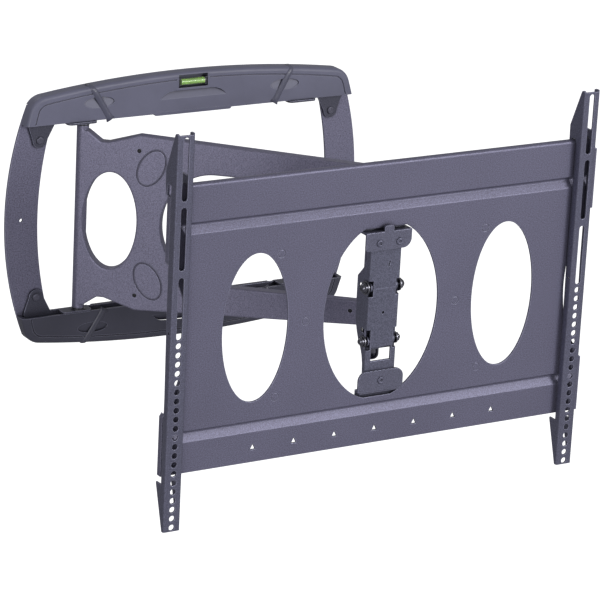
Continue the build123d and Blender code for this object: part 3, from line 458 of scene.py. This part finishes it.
def bright_metal(name, tint, wear_and_highlight_tint=(0.5, 0.5, 0.55), roughness=0.28, streak=900.0, along=2):
    """Plated steel with faint turning marks round its axis, and a lighter tint on outer edges that is a
    painted highlight together with light edge wear.
    """
    material = bpy.data.materials.new(name)
    material.use_nodes = True
    tree = material.node_tree
    shader = tree.nodes["Principled BSDF"]
    shader.inputs["Metallic"].default_value = 1.0
    place = add_node(tree, "ShaderNodeTexCoord")
    stretched = 0.02
    squeeze = [streak * stretched] * 3
    squeeze[along] = streak
    lines = add_node(tree, "ShaderNodeMapping", in_Vector=place.outputs["Object"], in_Scale=squeeze)
    turning = add_node(tree, "ShaderNodeTexNoise", in_Vector=lines.outputs[0], in_Scale=1.0, in_Detail=3.0)
    edges = add_node(tree, "ShaderNodeGroup", node_tree=edge_group)
    edges.inputs["Radius"].default_value = 0.0005
    tone = add_node(tree, "ShaderNodeMapRange", in_0=turning.outputs[0],
                    in_1=0.3, in_2=0.7, in_3=0.85, in_4=1.1)
    metal = add_node(tree, "ShaderNodeMix", data_type="RGBA", blend_type="MULTIPLY", in_0=1.0,
                     in_6=(*tint, 1), in_7=tone.outputs[0])
    # Painted highlight with light wear: outer edges are mixed towards the lighter tint.
    worn_and_lit = add_node(tree, "ShaderNodeMix", data_type="RGBA", in_0=edges.outputs["Wear and highlight"],
                    in_6=metal.outputs[2], in_7=(*wear_and_highlight_tint, 1))
    spread = 0.15
    rough = add_node(tree, "ShaderNodeMath", operation="MULTIPLY_ADD", in_0=turning.outputs[0],
                     in_1=spread, in_2=roughness - 0.07)
    marks = add_node(tree, "ShaderNodeBump", in_Strength=0.12, in_Distance=0.0002,
                     in_Height=turning.outputs[0], in_Normal=edges.outputs["Rounded"])
    tree.links.new(worn_and_lit.outputs[2], shader.inputs["Base Color"])
    tree.links.new(rough.outputs[0], shader.inputs["Roughness"])
    tree.links.new(marks.outputs[0], shader.inputs["Normal"])
    return material


zinc_plate = bright_metal("zinc_plate", (0.20, 0.20, 0.23), roughness=0.34)
finish_nodes(zinc_plate, "wall_hinge_pin", "wall_hinge_washers")
bush_nylon = moulding("bush_nylon", (0.022, 0.022, 0.027), grain=3200.0, depth=0.1, gloss=0.28)
finish_nodes(bush_nylon, "wall_hinge_bushes")

# Wall arm: one pressed sheet of steel with rolled ends, a stamped lens-shaped opening and a wide
# fork, powder coated a shade lighter than the plate.
arm_coat = graphite_coat("arm_coat", (0.215, 0.207, 0.300), gloss=0.34)
finish_nodes(arm_coat, "wall_arm_plate")
# Painted shade: the near-black plugs stand in for the dark inside of the cable holes.
plug_shade_black = moulding("plug_shade_black", (0.012, 0.012, 0.015), gloss=0.45)
finish_nodes(plug_shade_black, "cable_hole_plugs")

# Elbow: a long plated pin that the wall arm's rolled ends hold, with a snap ring below and nylon
# bushes in the front arm's tube.
finish_nodes(zinc_plate, "elbow_pin", "elbow_pin_clip", "elbow_washers")
finish_nodes(bush_nylon, "elbow_bushes")

# Front arm: a shallow pressed tray with an oval window, welded to a tube at each end and coated.
front_arm_coat = graphite_coat("front_arm_coat", (0.160, 0.155, 0.225))
finish_nodes(front_arm_coat, "front_arm_plate", "front_arm_elbow_tube", "front_arm_swivel_tube")
finish_nodes(bush_nylon, "swivel_bushes")

# Swivel bracket: folded steel cheeks that carry the two tilt bolts, turning on a short pin that a
# domed nut holds from below.
bracket_coat = graphite_coat("bracket_coat", (0.120, 0.122, 0.175))
finish_nodes(bracket_coat, "swivel_bracket")
finish_nodes(zinc_plate, "swivel_washers", "swivel_nut_washer")
nut_chrome = bright_metal("nut_chrome", (0.16, 0.16, 0.19), roughness=0.20, along=0)
finish_nodes(nut_chrome, "swivel_pin", "swivel_cap_nut")

# Tilt bolts: two polished cross bolts with ball heads and domed nuts. The lower one is the pivot and
# the upper one runs in arc slots and clamps the tilt.
finish_nodes(nut_chrome, "tilt_pivot_bolt", "tilt_pivot_nut", "tilt_guide_bolt", "tilt_guide_nut")
finish_nodes(zinc_plate, "tilt_pivot_washers", "tilt_guide_washers")

# Tilt channel: folded steel that carries the plate, with notches and a window for the bolts.
channel_coat = graphite_coat("channel_coat", (0.130, 0.132, 0.190), wear_and_highlight=0.7, gloss=0.36)
finish_nodes(channel_coat, "tilt_channel")

# Hook plate and latch plate: folded steel lips that hold the plate's opening at its top and bottom,
# fixed to the channel with low domed socket screws under the same coat.
hook_coat = graphite_coat("hook_coat", (0.140, 0.140, 0.200), wear_and_highlight=0.6)
finish_nodes(hook_coat, "hook_plate", "latch_plate")
screw_coat = graphite_coat("screw_coat", (0.130, 0.130, 0.19), wear_and_highlight=0.6, gloss=0.30)
finish_nodes(screw_coat, "hook_screws", "latch_screw")

# Television plate: one wide pressing with oval openings, two pressed grooves that stiffen it and a
# folded top edge that the uprights hook over.
plate_coat = graphite_coat("plate_coat", (0.165, 0.160, 0.236))
finish_nodes(plate_coat, "tv_plate")

# Uprights: two slotted channels that hook over the plate and carry the television's screws.
rail_coat = graphite_coat("rail_coat", (0.130, 0.130, 0.190))
finish_nodes(rail_coat, "left_rail", "right_rail")
